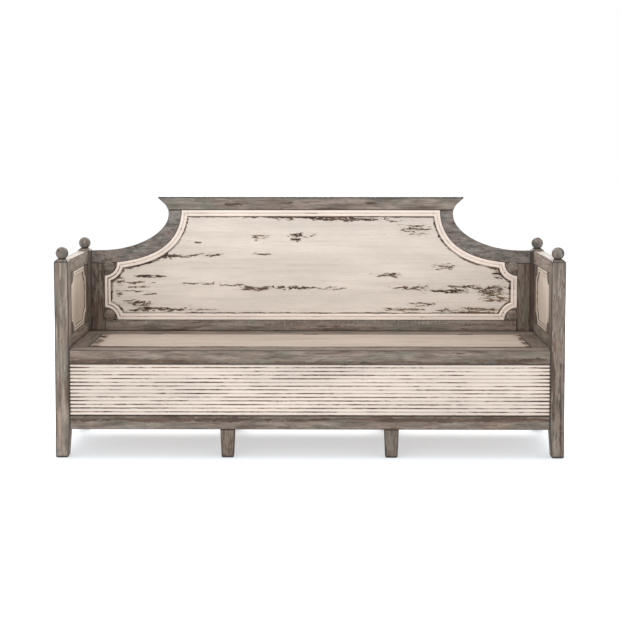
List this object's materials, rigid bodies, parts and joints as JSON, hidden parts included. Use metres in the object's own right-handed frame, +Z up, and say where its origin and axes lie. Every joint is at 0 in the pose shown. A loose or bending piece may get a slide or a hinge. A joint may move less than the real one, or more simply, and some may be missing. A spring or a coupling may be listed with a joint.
{
  "type": "church pew",
  "caption": "Panelled church pew with a shaped back, panelled arms with ball finials, and a reeded storage box under a lift-up seat.",
  "frame": {"origin": "on the floor, midway between the four corner posts", "axes": "+X along the pew's length, +Z up, -Y towards the front, where the sitter's knees are"},
  "size_m": [2.134, 0.61, 1.072],
  "materials": {
    "grey_paint": "distressed matt paint over brown wood",
    "cream_paint": "distressed chipped matt paint over brown wood",
    "bare_wood": "unpainted pine",
    "hinge_iron": "dark painted iron",
    "screw_steel": "dull steel"
  },
  "bodies": {
    "frame": {"post_front_left": "grey_paint", "post_front_right": "grey_paint", "post_rear_left": "grey_paint", "post_rear_right": "grey_paint", "finial_front_left": "grey_paint", "finial_front_right": "grey_paint", "finial_rear_left": "grey_paint", "finial_rear_right": "grey_paint", "leg_front_left": "grey_paint", "leg_front_right": "grey_paint", "leg_rear_left": "grey_paint", "leg_rear_right": "grey_paint", "front_bottom_rail": "grey_paint", "front_seat_rail": "grey_paint", "reeded_front_panel": "cream_paint", "rear_bottom_rail": "grey_paint", "rear_seat_rail": "grey_paint", "rear_box_panel": "grey_paint", "side_bottom_rail_left": "grey_paint", "side_bottom_rail_right": "grey_paint", "side_box_panel_left": "cream_paint", "side_box_panel_right": "cream_paint", "arm_rail_left": "grey_paint", "arm_rail_right": "grey_paint", "arm_lower_rail_left": "grey_paint", "arm_lower_rail_right": "grey_paint", "arm_stiles_left": "grey_paint", "arm_stiles_right": "grey_paint", "arm_panel_left": "cream_paint", "arm_panel_right": "cream_paint", "arm_moulding_left": "cream_paint", "arm_moulding_right": "cream_paint", "arm_corner_blocks": "grey_paint", "crest_rail": "grey_paint", "back_shoulder_left": "grey_paint", "back_shoulder_right": "grey_paint", "back_stile_left": "grey_paint", "back_stile_right": "grey_paint", "back_bottom_rail": "grey_paint", "back_panel": "cream_paint", "back_corner_blocks": "grey_paint", "moulding_top": "cream_paint", "moulding_bottom": "cream_paint", "moulding_curve_left": "cream_paint", "moulding_curve_right": "cream_paint", "moulding_side_left": "cream_paint", "moulding_side_right": "cream_paint", "seat_rear_strip": "grey_paint", "seat_side_strip_left": "grey_paint", "seat_side_strip_right": "grey_paint", "seat_bearers": "bare_wood", "box_floor_boards": "bare_wood", "hinge_frame_leaves": "hinge_iron", "hinge_pins": "hinge_iron", "hinge_frame_screws": "screw_steel"},
    "lid": {"lid_boards": "cream_paint", "lid_battens": "bare_wood", "hinge_lid_leaves": "hinge_iron", "hinge_lid_screws": "screw_steel"}
  },
  "joints": [
    {"name": "lid_hinge", "type": "hinge", "parent": "frame", "child": "lid", "pos_m": [0, 0.15, 0.457], "axis": [-1, 0, 0], "range_deg": [0, 105]}
  ]
}
